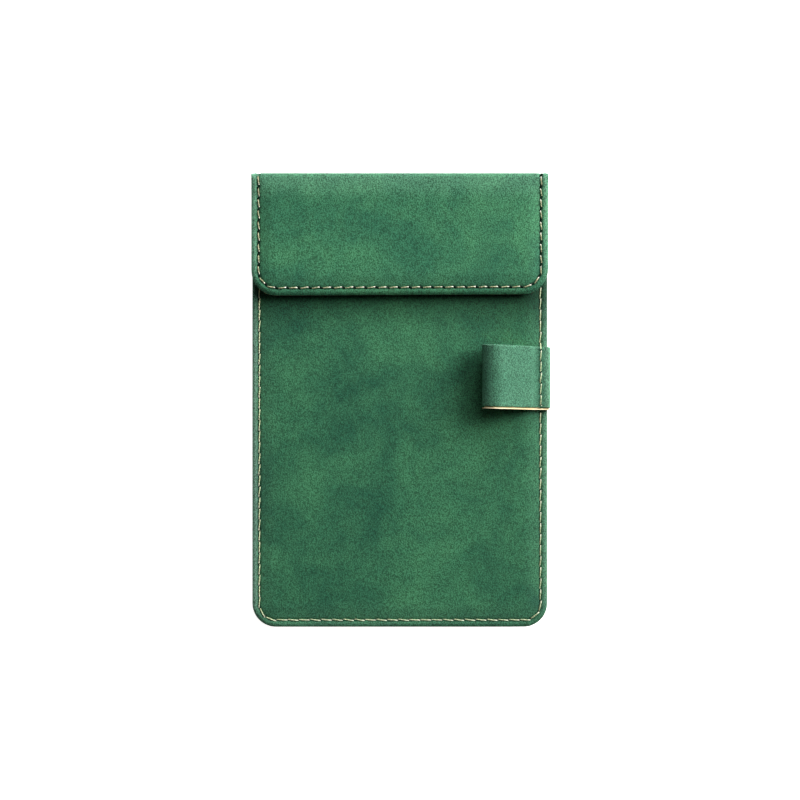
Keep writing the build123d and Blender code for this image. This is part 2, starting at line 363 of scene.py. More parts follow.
def seam_dip(half, corner, inset, x, v, rim):
    """The valley that the thread pulls into the leather, deeper at each stitch hole."""
    off = rim - inset
    place = seam_place(half, corner, inset, x, v)
    pull = 0.5 + 0.5 * cos(2 * pi * place / PITCH)
    return VALLEY_DEPTH * bell(off / VALLEY_WIDTH) + PULL_DEPTH * pull * bell(off / PULL_WIDTH)


def edge_roll(rim, roll=EDGE_ROLL, drop=EDGE_DROP):
    """How far the pressed edge curves down."""
    if rim >= roll:
        return 0.0
    return drop * (1.0 - rim / roll) ** 2


def hand(x, v, seed, reach=24.0):
    """The slight unevenness of real leather, from -1 to 1."""
    return noise.noise(Vector((x / reach, v / reach, seed)))


def fold_path(start_y, start_z, out_z, turn, toward, mid_z):
    """A flat run up the page, a round fold into the spine, and the spine up or down to its middle.

    turn is the fold's radius, toward the spine's face in y, and out_z the way that the face looks.
    """
    run = toward - turn - start_y
    climb = 1.0 if mid_z > start_z else -1.0
    arc = turn * pi / 2

    def path(v):
        if v <= run:
            return (start_y + v, start_z, 0.0, out_z)
        if v < run + arc:
            a = (v - run) / turn
            y = toward - turn + turn * sin(a)
            z = start_z + climb * turn * (1.0 - cos(a))
            return (y, z, -climb * out_z * sin(a), out_z * cos(a))
        return (toward, start_z + climb * (turn + v - run - arc), -climb * out_z, 0.0)

    length = run + arc + abs(mid_z - start_z) - turn
    return path, length, run


def flat_path(start_y, start_z, out_z):
    """A flat run up the page, facing up or down."""
    def path(v):
        return (start_y + v, start_z, 0.0, out_z)
    return path


# ------------------------------------------------------------ shader kit

class Value:
    """A number that varies over the surface. Sums and products of it add their own Math nodes."""

    def __init__(self, shader, socket):
        self.shader = shader
        self.socket = socket

    def maths(self, operation, *others):
        return self.shader.node("ShaderNodeMath", {"operation": operation}, (self, *others))

    def __add__(self, other):
        return self.maths("ADD", other)

    def __radd__(self, other):
        return self.maths("ADD", other)

    def __sub__(self, other):
        return self.maths("SUBTRACT", other)

    def __rsub__(self, other):
        return self.shader.node("ShaderNodeMath", {"operation": "SUBTRACT"}, (other, self))

    def __mul__(self, other):
        return self.maths("MULTIPLY", other)

    def __rmul__(self, other):
        return self.maths("MULTIPLY", other)

    def clamp(self):
        settings = {"operation": "ADD", "use_clamp": True}
        return self.shader.node("ShaderNodeMath", settings, (self, 0.0))


class Shader:
    """One material's node tree."""

    def __init__(self, name):
        self.material = bpy.data.materials.new(name)
        self.material.use_nodes = True
        self.tree = self.material.node_tree
        self.tree.nodes.clear()
        self.output = self.tree.nodes.new("ShaderNodeOutputMaterial")

    def raw(self, kind, settings, inputs):
        """Adds a node: its settings first, then the values or links of its sockets by place or name."""
        node = self.tree.nodes.new(kind)
        for key, value in settings.items():
            setattr(node, key, value)
        pairs = inputs.items() if isinstance(inputs, dict) else enumerate(inputs)
        for key, value in pairs:
            if value is None:
                continue
            if isinstance(value, Value):
                self.tree.links.new(value.socket, node.inputs[key])
            else:
                node.inputs[key].default_value = value
        return node

    def node(self, kind, settings=None, inputs=(), output=0):
        return Value(self, self.raw(kind, settings or {}, inputs).outputs[output])

    def place(self):
        """Object coordinates in millimetres."""
        coords = self.node("ShaderNodeTexCoord", output="Object")
        return self.scaled(coords, 1.0 / MM)

    def stretched(self, vector, x, y, z):
        return self.node("ShaderNodeVectorMath", {"operation": "MULTIPLY"}, (vector, (x, y, z)))

    def turned(self, vector, angle, scale):
        """A vector turned about Z and then stretched."""
        settings = {"vector_type": "POINT"}
        inputs = {"Vector": vector, "Rotation": (0.0, 0.0, angle), "Scale": scale}
        return self.node("ShaderNodeMapping", settings, inputs)

    def scaled(self, color, gain):
        """A colour, or any vector, times one number."""
        return self.node("ShaderNodeVectorMath", {"operation": "SCALE"}, {"Vector": color, "Scale": gain})

    def noise(self, vector, size, detail=3.0, rough=0.55, bend=0.0):
        """Cloudy noise whose blotches are about size millimetres across."""
        inputs = {
            "Vector": vector, "Scale": 1.0 / size, "Detail": detail,
            "Roughness": rough, "Distortion": bend,
        }
        return self.node("ShaderNodeTexNoise", {}, inputs)

    def cells(self, vector, size):
        """Distance from the nearest of scattered points that are about size millimetres apart."""
        return self.node("ShaderNodeTexVoronoi", {}, {"Vector": vector, "Scale": 1.0 / size})

    def attribute(self, name):
        return self.node("ShaderNodeAttribute", {"attribute_name": name}, output="Fac")

    def between(self, value, low, high, to_low=0.0, to_high=1.0):
        """to_low below low, to_high above high, and an even S between them."""
        inputs = {0: value, 1: low, 2: high, 3: to_low, 4: to_high}
        settings = {"interpolation_type": "SMOOTHSTEP"}
        return self.node("ShaderNodeMapRange", settings, inputs)

    def mix(self, share, first, second):
        """A mix of two colours: none of the second at 0, only the second at 1."""
        node = self.raw("ShaderNodeMix", {"data_type": "RGBA", "clamp_factor": True}, {})
        for name, kind, value in (("Factor", "VALUE", share), ("A", "RGBA", first), ("B", "RGBA", second)):
            socket = [s for s in node.inputs if s.name == name and s.type == kind][0]
            if isinstance(value, Value):
                self.tree.links.new(value.socket, socket)
            else:
                socket.default_value = value
        return Value(self, [s for s in node.outputs if s.type == "RGBA"][0])

    def bump(self, height, depth, strength):
        """A surface normal from a height of 0 to 1 that stands for depth millimetres."""
        inputs = {"Strength": strength, "Distance": depth * MM, "Height": height}
        return self.node("ShaderNodeBump", {}, inputs)

    def finish(self, color, roughness, normal=None, **constants):
        """The Principled shader: what varies is linked, and the rest is set on its own sockets."""
        inputs = {"Base Color": color, "Roughness": roughness, "Normal": normal}
        inputs.update({key.replace("_", " "): value for key, value in constants.items()})
        surface = self.raw("ShaderNodeBsdfPrincipled", {}, inputs)
        self.tree.links.new(surface.outputs[0], self.output.inputs[0])
        return self.material


def srgb(red, green, blue):
    """A colour in 0 to 255, as the linear values that a shader takes."""
    def linear(value):
        value /= 255.0
        return value / 12.92 if value <= 0.04045 else ((value + 0.055) / 1.055) ** 2.4
    return (linear(red), linear(green), linear(blue), 1.0)


# ------------------------------------------------------------ materials

def nubuck(name, deep, pale, worn, margin_wear, fold_wear=None, painted_light_and_shade=None, seam=None):
    """Dyed leather with a napped face: cloudy colour, fine grain, paler where it is handled, and with
    bands of painted shade, and of painted light, along it.

    fold_wear is (start, end, share): places along the sheet between which it gets rubbed.
    painted_light_and_shade is (start, end, gain): a band along the sheet whose colour is multiplied by
    the gain, below 1 for painted shade and above 1 for painted light. seam is how far in from the
    edge a line of painted shade runs along the stitching.
    """
    s = Shader(name)
    p = s.place()
    cloud = s.noise(p, 17.0, bend=0.5)
    patch = s.noise(p, 5.0, bend=0.3)
    grain = s.noise(p, 0.48, detail=1.0, rough=0.5)
    speck = s.noise(p, 0.26, detail=1.0, rough=0.5)
    nap = s.noise(s.turned(p, 0.8, (1.0, 0.45, 1.0)), 0.32, detail=1.0, rough=0.5)
    tone = 0.5 + (cloud - 0.5) * 2.4 + (patch - 0.5) * 0.5
    color = s.mix(tone.clamp(), deep, pale)
    rim = s.attribute("rim")
    ragged = rim + (patch - 0.5) * 0.8 + (speck - 0.5) * 1.0
    edge = s.between(ragged, 0.9, 2.0, to_low=1.0, to_high=0.0) * s.attribute("wear")
    handled = s.between(rim, 2.0, 9.0, to_low=0.05, to_high=0.0)
    color = s.mix((edge * margin_wear + handled).clamp(), color, worn)
    if fold_wear is not None:
        start, end, share = fold_wear
        drift = (end - start) * 0.3
        fold = s.attribute("fold") + (cloud + patch + speck * 1.5 - 1.75) * drift
        past = s.between(fold, end + 0.8, end + 2.6, to_low=1.0, to_high=0.35)
        color = s.mix(s.between(fold, start, end) * past * share, color, worn)
    # Painted shade in a band along the fold attribute, and painted light where the gain is above 1; noise
    # makes the band's edge ragged.
    if painted_light_and_shade is not None:
        start, end, gain = painted_light_and_shade
        kept = s.attribute("fold") + (patch - 0.5) * 3.0
        color = s.mix(s.between(kept, start, end), color, s.stretched(color, *gain))
    # Painted shade: a darker line along the seam, where the thread pulls the leather into a valley.
    if seam is not None:
        near, far = 0.3, 0.8
        outside = s.between(rim, seam - far, seam - near)
        inside = s.between(rim, seam + near, seam + far, to_low=1.0, to_high=0.0)
        color = s.mix(outside * inside, color, s.scaled(color, 0.72))
    fine = (grain - 0.5) * 0.4 + (speck - 0.5) * 3.3 + (nap - 0.5) * 1.7
    strength = s.between(rim, 1.1, 2.1, to_low=2.0, to_high=1.0)
    color = s.mix((fine * strength + 0.5).clamp(), s.scaled(color, 0.52), s.scaled(color, 1.62))
    height = grain * 0.4 + speck * 0.5 + nap * 0.4 + s.cells(p, 0.62) * 0.2
    normal = s.bump(height, depth=0.14, strength=0.6)
    rough = 0.76 + (grain - 0.5) * 0.25
    return s.finish(
        color, rough, normal, Specular_IOR_Level=0.18, Sheen_Weight=0.02, Sheen_Roughness=0.5,
    )


def tanned(name, dark, light):
    """Smooth undyed lining leather."""
    s = Shader(name)
    p = s.place()
    cloud = s.noise(p, 12.0, detail=4.0, rough=0.6, bend=0.4)
    grain = s.noise(p, 0.6, rough=0.65)
    tone = (cloud - 0.5) * 1.4 + (grain - 0.5) * 0.5 + 0.5
    color = s.mix(tone.clamp(), dark, light)
    normal = s.bump(grain * 0.6 + s.cells(p, 0.8) * 0.4, depth=0.09, strength=0.5)
    return s.finish(color, 0.58 + (grain - 0.5) * 0.2, normal, Specular_IOR_Level=0.4)


def raw_cut(name):
    """The cream core of the hide, where a strip is cut and left bare."""
    s = Shader(name)
    p = s.place()
    fibre = s.noise(s.stretched(p, 0.5, 2.0, 2.0), 0.45, rough=0.7)
    cloud = s.noise(p, 3.0, detail=2.0)
    tone = 0.5 + (fibre - 0.5) * 1.2 + (cloud - 0.5) * 1.2
    color = s.mix(tone.clamp(), srgb(238, 200, 136), srgb(255, 246, 216))
    normal = s.bump(fibre, depth=0.1, strength=0.6)
    return s.finish(color, 0.8 + (fibre - 0.5) * 0.1, normal, Specular_IOR_Level=0.3)


def waxed_thread(name, dark, light, highlight_share):
    """Waxed linen thread with its twist, and a painted highlight where it arches down into the next hole.
    """
    s = Shader(name)
    p = s.place()
    twist = s.node(
        "ShaderNodeTexWave", {"wave_type": "BANDS", "bands_direction": "DIAGONAL"},
        {"Vector": p, "Scale": 0.62, "Distortion": 1.2, "Detail": 1.0},
    )
    soil = s.noise(p, 1.7, detail=2.0)
    fibre = s.noise(p, 0.12, detail=2.0)
    tone = twist * 0.45 + soil * 0.7 + fibre * 0.3 - 0.25
    color = s.mix(tone.clamp(), dark, light)
    # Painted highlight: toward the far end of each stitch the colour goes near white, broken up by the soil
    # noise.
    highlight_patchiness = s.between(soil, 0.3, 0.5, to_low=0.55)
    painted_highlight = s.between(s.attribute("along"), 0.62, 0.86) * highlight_patchiness
    color = s.mix(painted_highlight * highlight_share, color, srgb(255, 255, 240))
    normal = s.bump(twist + fibre * 0.5, depth=0.07, strength=0.7)
    return s.finish(color, 0.5 + (soil - 0.5) * 0.2, normal, Specular_IOR_Level=0.5)


def dark_hole(name):
    """The shadowed inside of an awl hole."""
    s = Shader(name)
    p = s.place()
    tone = s.noise(p, 0.4, detail=2.0)
    color = s.mix(tone, srgb(6, 22, 14), srgb(18, 44, 30))
    return s.finish(color, 0.9 + (tone - 0.5) * 0.1, None, Specular_IOR_Level=0.1)


def ruled_paper(name):
    """Off-white writing paper with faint rules inside a margin of bare paper."""
    rule_pitch, rule_width = 6.5, 0.16
    rules_half, rules_head, edge = 35.4, 44.0, 0.2
    past_foot = 200.0
    s = Shader(name)
    p = s.place()
    parts = s.raw("ShaderNodeSeparateXYZ", {}, (p,))
    x = Value(s, parts.outputs[0])
    y = Value(s, parts.outputs[1])
    fibre = s.noise(p, 0.25, rough=0.6)
    cloud = s.noise(p, 9.0)
    color = s.mix((0.5 + (cloud - 0.5) * 0.8).clamp(), srgb(218, 211, 192), srgb(232, 227, 212))
    from_rule = (y + past_foot).maths("PINGPONG", rule_pitch / 2)
    line = s.between(from_rule, 0.0, rule_width, to_low=1.0, to_high=0.0)
    across = s.between(x.maths("ABSOLUTE"), rules_half, rules_half + edge, to_low=1.0, to_high=0.0)
    below = s.between(y, rules_head, rules_head + edge, to_low=1.0, to_high=0.0)
    color = s.mix(line * across * below * 0.6, color, srgb(132, 156, 170))
    normal = s.bump(fibre, depth=0.04, strength=0.5)
    return s.finish(color, 0.86 + (fibre - 0.5) * 0.1, normal, Specular_IOR_Level=0.25)


def pressed_board(name, dark, light):
    """Grey brown bookbinder's board or card, flecked with fibre."""
    s = Shader(name)
    p = s.place()
    fleck = s.noise(s.stretched(p, 1.0, 0.35, 1.0), 0.5, detail=4.0, rough=0.75)
    cloud = s.noise(p, 8.0, detail=2.0)
    color = s.mix(((fleck - 0.5) * 2.0 + cloud).clamp(), dark, light)
    normal = s.bump(fleck, depth=0.06, strength=0.5)
    return s.finish(color, 0.9 + (fleck - 0.5) * 0.1, normal, Specular_IOR_Level=0.2)


def book_cloth(name):
    """Black woven binding cloth."""
    s = Shader(name)
    p = s.place()
    ribs = {"Vector": p, "Scale": 0.75, "Distortion": 0.4}
    across = s.node("ShaderNodeTexWave", {"bands_direction": "X"}, ribs)
    along = s.node("ShaderNodeTexWave", {"bands_direction": "Y"}, ribs)
    weave = across * along
    dust = s.noise(p, 2.5)
    color = s.mix((weave * 0.6 + dust * 0.4).clamp(), srgb(16, 17, 18), srgb(58, 60, 60))
    normal = s.bump(weave, depth=0.08, strength=0.8)
    return s.finish(color, 0.82 + (dust - 0.5) * 0.2, normal, Specular_IOR_Level=0.3)


def drawn_steel(name, tint):
    """Bright wire or plated plate, finely scratched."""
    s = Shader(name)
    p = s.place()
    scratch = s.noise(s.stretched(p, 0.2, 3.0, 1.0), 0.4, detail=4.0, rough=0.7)
    color = s.mix(scratch, tint, srgb(225, 226, 228))
    normal = s.bump(scratch, depth=0.01, strength=0.4)
    return s.finish(color, 0.26 + (scratch - 0.5) * 0.3, normal, Metallic=1.0)


FLAP_TONES = (srgb(38, 93, 70), srgb(65, 124, 87), srgb(112, 166, 136), 0.5)
# The cover gets a painted shadow in the band under the flap's foot, and painted shade along its seam.
COVER_GREEN = nubuck(
    "cover_green_leather", srgb(33, 83, 62), srgb(58, 114, 80), srgb(122, 160, 142), 0.56,
    painted_light_and_shade=(88.0, 102.0, (0.3, 0.4, 0.36)), seam=SEAM_INSET,
)
# The loop's nose gets painted light on its shaded left side.
LOOP_GREEN = nubuck(
    "loop_green_leather", srgb(51, 98, 76), srgb(65, 113, 89), srgb(116, 168, 138), 0.1,
    fold_wear=(HALF - 1.6, HALF + 0.4, 0.6),
    painted_light_and_shade=(loop_low[0] + 3.2, loop_low[0] + 0.4, (1.5, 1.4, 1.45)),
)
TAN = tanned("tan_lining_leather", srgb(136, 100, 66), srgb(176, 138, 98))
CREAM = raw_cut("cream_raw_edge")
THREAD = waxed_thread("waxed_thread", srgb(122, 128, 84), srgb(214, 210, 172), 0.95)
FINE_THREAD = waxed_thread("fine_waxed_thread", srgb(146, 164, 112), srgb(228, 238, 196), 0.45)
HOLE = dark_hole("stitch_hole")
PAPER = ruled_paper("ruled_paper")
BOARD = pressed_board("binders_board", srgb(104, 92, 76), srgb(150, 136, 114))
KRAFT = pressed_board("kraft_card", srgb(140, 108, 74), srgb(184, 150, 108))
CLOTH = book_cloth("black_book_cloth")
STEEL = drawn_steel("staple_steel", srgb(150, 152, 156))
NICKEL = drawn_steel("nickel_plate", srgb(170, 170, 168))


# ------------------------------------------------------------ outer leather

flap_path, flap_length, flap_run = fold_path(flap_low[1], TOP, 1.0, FOLD_RADIUS, HEAD, MID_SPINE)
flap_step = (TOP - (flap_low[2] + LEATHER)) * FLAP_STEP_SHARE


def flap_height(x, v):
    rim = edge_distance(HALF, FLAP_CORNER, None, x, v)
    over_board = board_lift(HALF, None, x, v)
    near_fold = smooth_step(flap_run - 7.0, flap_run, v)
    margin = flap_step * (1.0 - over_board) * (1.0 - near_fold)
    wave = 0.07 * hand(x, v, seed=1.5) * over_board * (1.0 - near_fold)
    on_seam = 1.0 - smooth_step(flap_run + 0.5, flap_run + 2.0, v) * 0.3
    dip = on_seam * seam_dip(HALF, FLAP_CORNER, FLAP_SEAM_INSET, x, v, rim)
    square = 1.0 - 0.75 * smooth_step(flap_run - 2.0, flap_run, v)
    return wave - margin - dip - square * edge_roll(rim, roll=1.4, drop=0.66)


def above_foot(v):
    """0 along the foot edge, which gets less rubbed, and 1 above it."""
    return smooth_step(3.0, 9.0, v)


def flap_wear(x, v):
    left, right = 1.55, 0.46
    return (left if x < 0.0 else right) * above_foot(v)


def flap_bed(x, v):
    if over_board_at(x, v, None) or v > flap_run - 2.0:
        return BED_GAP - LEATHER
    return flap_lining_high[2] + BED_GAP - TOP


flap_panel = Panel(
    HALF, flap_length, FLAP_CORNER, flap_path, flap_height, LEATHER * LEATHER_SHARE,
    bed=flap_bed, wear=flap_wear, skew=FLAP_SKEW,
)
# The flap gets painted shade along its foot edge, and painted shade along its seam.
FLAP_GREEN = nubuck(
    "flap_green_leather", *FLAP_TONES, fold_wear=(flap_run - 8.0, flap_run, 0.3),
    painted_light_and_shade=(2.9, 1.9, (0.84, 0.88, 0.86)), seam=FLAP_SEAM_INSET,
)
flap_skin = flap_panel.build("outer_leather_flap", FLAP_GREEN)

back_path, back_length, back_run = fold_path(FOOT, 0.0, -1.0, FOLD_RADIUS, HEAD, MID_SPINE)


def back_height(x, v):
    rim = edge_distance(HALF, COVER_CORNER, None, x, v)
    depth, width = 0.3, 0.5
    groove = depth * bell((rim - SEAM_INSET) / width)
    return -groove - edge_roll(rim, roll=0.7, drop=0.32)


back_panel = Panel(HALF, back_length, COVER_CORNER, back_path, back_height, LEATHER * LEATHER_SHARE)
# The back's leather gets painted shade along its seam.
BACK_GREEN = nubuck(
    "back_green_leather", *FLAP_TONES, fold_wear=(back_run - 8.0, back_run, 0.3), seam=SEAM_INSET,
)
back_skin = back_panel.build("outer_leather_back", BACK_GREEN)

front_length = front_high[1] - FOOT
front_margin = front_low[2] + LEATHER
front_step = (front_high[2] - front_margin) * FRONT_STEP_SHARE


def front_height(x, v):
    rim = edge_distance(HALF, COVER_CORNER, front_length, x, v)
    side_rim = edge_distance(HALF, COVER_CORNER, None, x, v)
    over_board = board_lift(HALF, front_length, x, v)
    wave = 0.06 * hand(x, v, seed=7.5) * over_board
    dip = seam_dip(HALF, COVER_CORNER, SEAM_INSET, x, v, side_rim)
    return front_step * over_board + wave - dip - edge_roll(rim)


def front_bed(x, v):
    if over_board_at(x, v, front_length):
        return front_board_high[2] + BED_GAP - front_margin
    return -LEATHER


def front_wear(x, v):
    left, right, at_foot = 1.0, 0.3, 0.15
    return (left if x < 0.0 else right) * (at_foot + (1.0 - at_foot) * above_foot(v))


front_panel = Panel(
    HALF, front_length, COVER_CORNER, flat_path(FOOT, front_margin, 1.0), front_height,
    LEATHER * LEATHER_SHARE, open_head=True, bed=front_bed, wear=front_wear,
)
front_skin = front_panel.build("outer_leather_front", COVER_GREEN)

# ------------------------------------------------------------ linings


def lining_roll(corner, length, x, v):
    """How far a lining's thin edge curves down."""
    return edge_roll(edge_distance(HALF, corner, length, x, v), roll=0.5, drop=0.22)


def plain_height(corner, length):
    """The height of a flat lining, which only curves down at its edges."""
    def height(x, v):
        return -lining_roll(corner, length, x, v)
    return height


front_lining_panel = Panel(
    HALF, front_length, COVER_CORNER, flat_path(FOOT, front_lining_low[2], -1.0),
    plain_height(COVER_CORNER, front_length), front_lining_high[2] - front_lining_low[2],
    open_head=True,
)
front_lining = front_lining_panel.build("lining_front", TAN, **LINING_ROWS)

back_lining_sheet = 0.6
back_lining_z = back_lining_low[2] + back_lining_sheet
lining_path, lining_length, lining_run = fold_path(
    FOOT, back_lining_z, 1.0, LINING_TURN, spine_lining_low[1], MID_SPINE,
)
back_lining_step = back_lining_high[2] - back_lining_z


def back_lining_height(x, v):
    at_head = smooth_step(lining_run - 1.6, lining_run - 0.4, v)
    over_board = board_lift(HALF, None, x, v) * (1.0 - at_head)
    return back_lining_step * over_board - lining_roll(COVER_CORNER, None, x, v)


back_lining_panel = Panel(
    HALF, lining_length, COVER_CORNER, lining_path, back_lining_height, back_lining_sheet * LINING_SHARE,
)
back_lining = back_lining_panel.build("lining_back", TAN, **LINING_ROWS)

flap_lining_path, flap_lining_length, _ = fold_path(
    flap_low[1], flap_lining_low[2], -1.0, LINING_TURN, spine_lining_low[1], MID_SPINE,
)
flap_lining_panel = Panel(
    HALF, flap_lining_length, FLAP_CORNER, flap_lining_path, plain_height(FLAP_CORNER, None),
    (flap_lining_high[2] - flap_lining_low[2]) * LINING_SHARE, skew=FLAP_SKEW,
)
flap_lining = flap_lining_panel.build("lining_flap", TAN, **LINING_ROWS)

# ------------------------------------------------------------ stitches

STITCH_LENGTHS = ("Length", "Radius", "Rise", "Sink", "Slant")
STITCH_SHARES = ("Flatness", "Wander")
# A thread's handles lie this share of the way out, and it swells by a share toward its far end.
ARCH_SHARE = 0.6
SWELL_LOW = 0.86
SWELL_MORE = 0.35
SWELL_POWER = 4.0


def stitch_tree(name, material):
    """Geometry nodes that set one short arched thread, or one hole, at even steps along a seam."""
    tree = bpy.data.node_groups.new(name, "GeometryNodeTree")
    face = tree.interface
    face.new_socket("Geometry", in_out="INPUT", socket_type="NodeSocketGeometry")
    face.new_socket("Count", in_out="INPUT", socket_type="NodeSocketInt")
    for label in STITCH_LENGTHS + STITCH_SHARES:
        face.new_socket(label, in_out="INPUT", socket_type="NodeSocketFloat")
    face.new_socket("Outward", in_out="INPUT", socket_type="NodeSocketVector")
    face.new_socket("Geometry", in_out="OUTPUT", socket_type="NodeSocketGeometry")

    def feed(socket, value):
        if isinstance(value, bpy.types.NodeSocket):
            tree.links.new(value, socket)
        else:
            socket.default_value = value

    def add(kind, settings=None, **inputs):
        node = tree.nodes.new(kind)
        for key, value in (settings or {}).items():
            setattr(node, key, value)
        for key, value in inputs.items():
            feed(node.inputs[key.replace("_", " ")], value)
        return node

    def maths(operation, first, second):
        node = add("ShaderNodeMath", {"operation": operation})
        feed(node.inputs[0], first)
        feed(node.inputs[1], second)
        return node.outputs[0]

    group = add("NodeGroupInput").outputs
    points = add(
        "GeometryNodeCurveToPoints", {"mode": "COUNT"}, Curve=group["Geometry"], Count=group["Count"],
    )
    along = add("FunctionNodeAlignRotationToVector", {"axis": "X"}, Vector=points.outputs["Tangent"])
    upright = add(
        "FunctionNodeAlignRotationToVector", {"axis": "Z", "pivot_axis": "X"},
        Rotation=along.outputs[0], Vector=group["Outward"],
    )
    half = maths("MULTIPLY", group["Length"], 0.5)
    back_half = maths("MULTIPLY", half, -1.0)
    down = maths("MULTIPLY", group["Sink"], -1.0)
    low_side = maths("MULTIPLY", group["Slant"], -1.0)
    start = add("ShaderNodeCombineXYZ", X=back_half, Y=low_side, Z=down).outputs[0]
    back_handle = maths("MULTIPLY", back_half, ARCH_SHARE)
    start_handle = add("ShaderNodeCombineXYZ", X=back_handle, Y=low_side, Z=group["Rise"]).outputs[0]
    handle = maths("MULTIPLY", half, ARCH_SHARE)
    end_handle = add("ShaderNodeCombineXYZ", X=handle, Y=group["Slant"], Z=group["Rise"]).outputs[0]
    end = add("ShaderNodeCombineXYZ", X=half, Y=group["Slant"], Z=down).outputs[0]
    arch = add(
        "GeometryNodeCurvePrimitiveBezierSegment", {"mode": "POSITION"},
        Resolution=9, Start=start, Start_Handle=start_handle, End_Handle=end_handle, End=end,
    )
    share = add("GeometryNodeSplineParameter").outputs["Factor"]
    marked = add(
        "GeometryNodeStoreNamedAttribute", {"data_type": "FLOAT", "domain": "POINT"},
        Geometry=arch.outputs[0], Name="along", Value=share,
    )
    late = maths("POWER", share, SWELL_POWER)
    swell = maths("ADD", maths("MULTIPLY", late, SWELL_MORE), SWELL_LOW)
    full = add("GeometryNodeSetCurveRadius", Curve=marked.outputs[0], Radius=swell)
    ring = add("GeometryNodeCurvePrimitiveCircle", Resolution=8, Radius=group["Radius"])
    squash = add("ShaderNodeCombineXYZ", X=1.0, Y=group["Flatness"], Z=1.0).outputs[0]
    oval = add("GeometryNodeTransform", Geometry=ring.outputs[0], Scale=squash)
    thread = add(
        "GeometryNodeCurveToMesh", Curve=full.outputs[0], Profile_Curve=oval.outputs[0], Fill_Caps=True,
    )
    wander = add("FunctionNodeRandomValue", {"data_type": "FLOAT"}, Seed=WANDER_SEED)
    low, high = [s for s in wander.inputs if s.type == "VALUE"][:2]
    feed(low, maths("MULTIPLY", group["Wander"], -1.0))
    feed(high, group["Wander"])
    angle = [s for s in wander.outputs if s.type == "VALUE"][0]
    drift = add("ShaderNodeCombineXYZ", Z=angle)
    turn = add("FunctionNodeEulerToRotation", Euler=drift.outputs[0])
    turned = add(
        "FunctionNodeRotateRotation", {"rotation_space": "LOCAL"},
        Rotation=upright.outputs[0], Rotate_By=turn.outputs[0],
    )
    placed = add(
        "GeometryNodeInstanceOnPoints", Points=points.outputs["Points"], Instance=thread.outputs[0],
        Rotation=turned.outputs[0],
    )
    real = add("GeometryNodeRealizeInstances", Geometry=placed.outputs[0])
    smooth = add("GeometryNodeSetShadeSmooth", Geometry=real.outputs[0])
    finished = add("GeometryNodeSetMaterial", Geometry=smooth.outputs[0], Material=material)
    out = add("NodeGroupOutput")
    tree.links.new(finished.outputs[0], out.inputs[0])
    return tree


THREAD_TREE = stitch_tree("running_stitch", THREAD)
FINE_TREE = stitch_tree("fine_running_stitch", FINE_THREAD)
HOLE_TREE = stitch_tree("awl_holes", HOLE)


def path_length(points):
    return sum((Vector(b) - Vector(a)).length for a, b in zip(points, points[1:]))


def as_mesh(obj):
    """A new plain mesh of an object with its modifiers applied."""
    bpy.context.view_layer.update()
    return bpy.data.meshes.new_from_object(obj.evaluated_get(bpy.context.evaluated_depsgraph_get()))


def add_line(curve, points):
    """Adds a line through points in millimetres to a curve."""
    spline = curve.splines.new("POLY")
    spline.points.add(len(points) - 1)
    for point, (x, y, z) in zip(spline.points, points):
        point.co = (x * MM, y * MM, z * MM, 1.0)


def trimmed(points, start, end):
    """The stretch of a path from start to end, measured along it."""
    kept = []
    run = 0.0
    for a, b in zip(points, points[1:]):
        a, b = Vector(a), Vector(b)
        step = (b - a).length
        for here in (start, end):
            if step > 0 and run <= here < run + step:
                kept.append(a.lerp(b, (here - run) / step))
        if start < run + step < end:
            kept.append(b)
        run += step
    return kept


def sew(name, tree, points, outward, shift=0.0, **sizes):
    """Runs a stitch tree along a path and keeps the result as a plain mesh. shift is in stitches."""
    total = path_length(points)
    count = round(total / PITCH)
    pitch = total / count
    curve = bpy.data.curves.new(name + "_path", "CURVE")
    curve.dimensions = "3D"
    add_line(curve, trimmed(points, pitch * (0.5 + shift), total - pitch * (0.5 - shift) - 0.001))
    guide = link(bpy.data.objects.new(name + "_path", curve))
    modifier = guide.modifiers.new("stitches", "NODES")
    modifier.node_group = tree
    values = {"Count": count, "Outward": outward, **sizes}
    for label in STITCH_LENGTHS:
        values[label] *= MM
    for item in tree.interface.items_tree:
        if item.item_type == "SOCKET" and item.in_out == "INPUT" and item.name in values:
            modifier[item.identifier] = values[item.name]
    mesh = as_mesh(guide)
    bpy.data.objects.remove(guide)
    mesh.name = name
    return link(bpy.data.objects.new(name, mesh))


UP = (0.0, 0.0, 1.0)
DOWN = (0.0, 0.0, -1.0)
SPINE_OUT = (0.0, 1.0, 0.0)

flap_seam_path = flap_panel.seam(FLAP_SEAM_INSET, top=flap_run + 0.2, lift=0.05)
flap_thread = sew(
    "flap_seam_thread", THREAD_TREE, flap_seam_path, UP,
    Length=2.8, Radius=0.18, Rise=0.55, Sink=0.25, Slant=0.14, Flatness=1.0, Wander=0.06,
)
flap_holes = sew(
    "flap_seam_holes", HOLE_TREE, flap_seam_path, UP, shift=0.5,
    Length=0.95, Radius=0.36, Rise=0.14, Sink=0.04, Slant=-0.26, Flatness=0.8, Wander=0.25,
)

# ------------------------------------------------------------ pen loop


def loop_thin(x):
    """The strip's thickness as a share: full in the loop, skived where it is sewn."""
    return 1.0 - STACK_THIN * smooth_step(HALF - 5.5, HALF - 3.4, x)


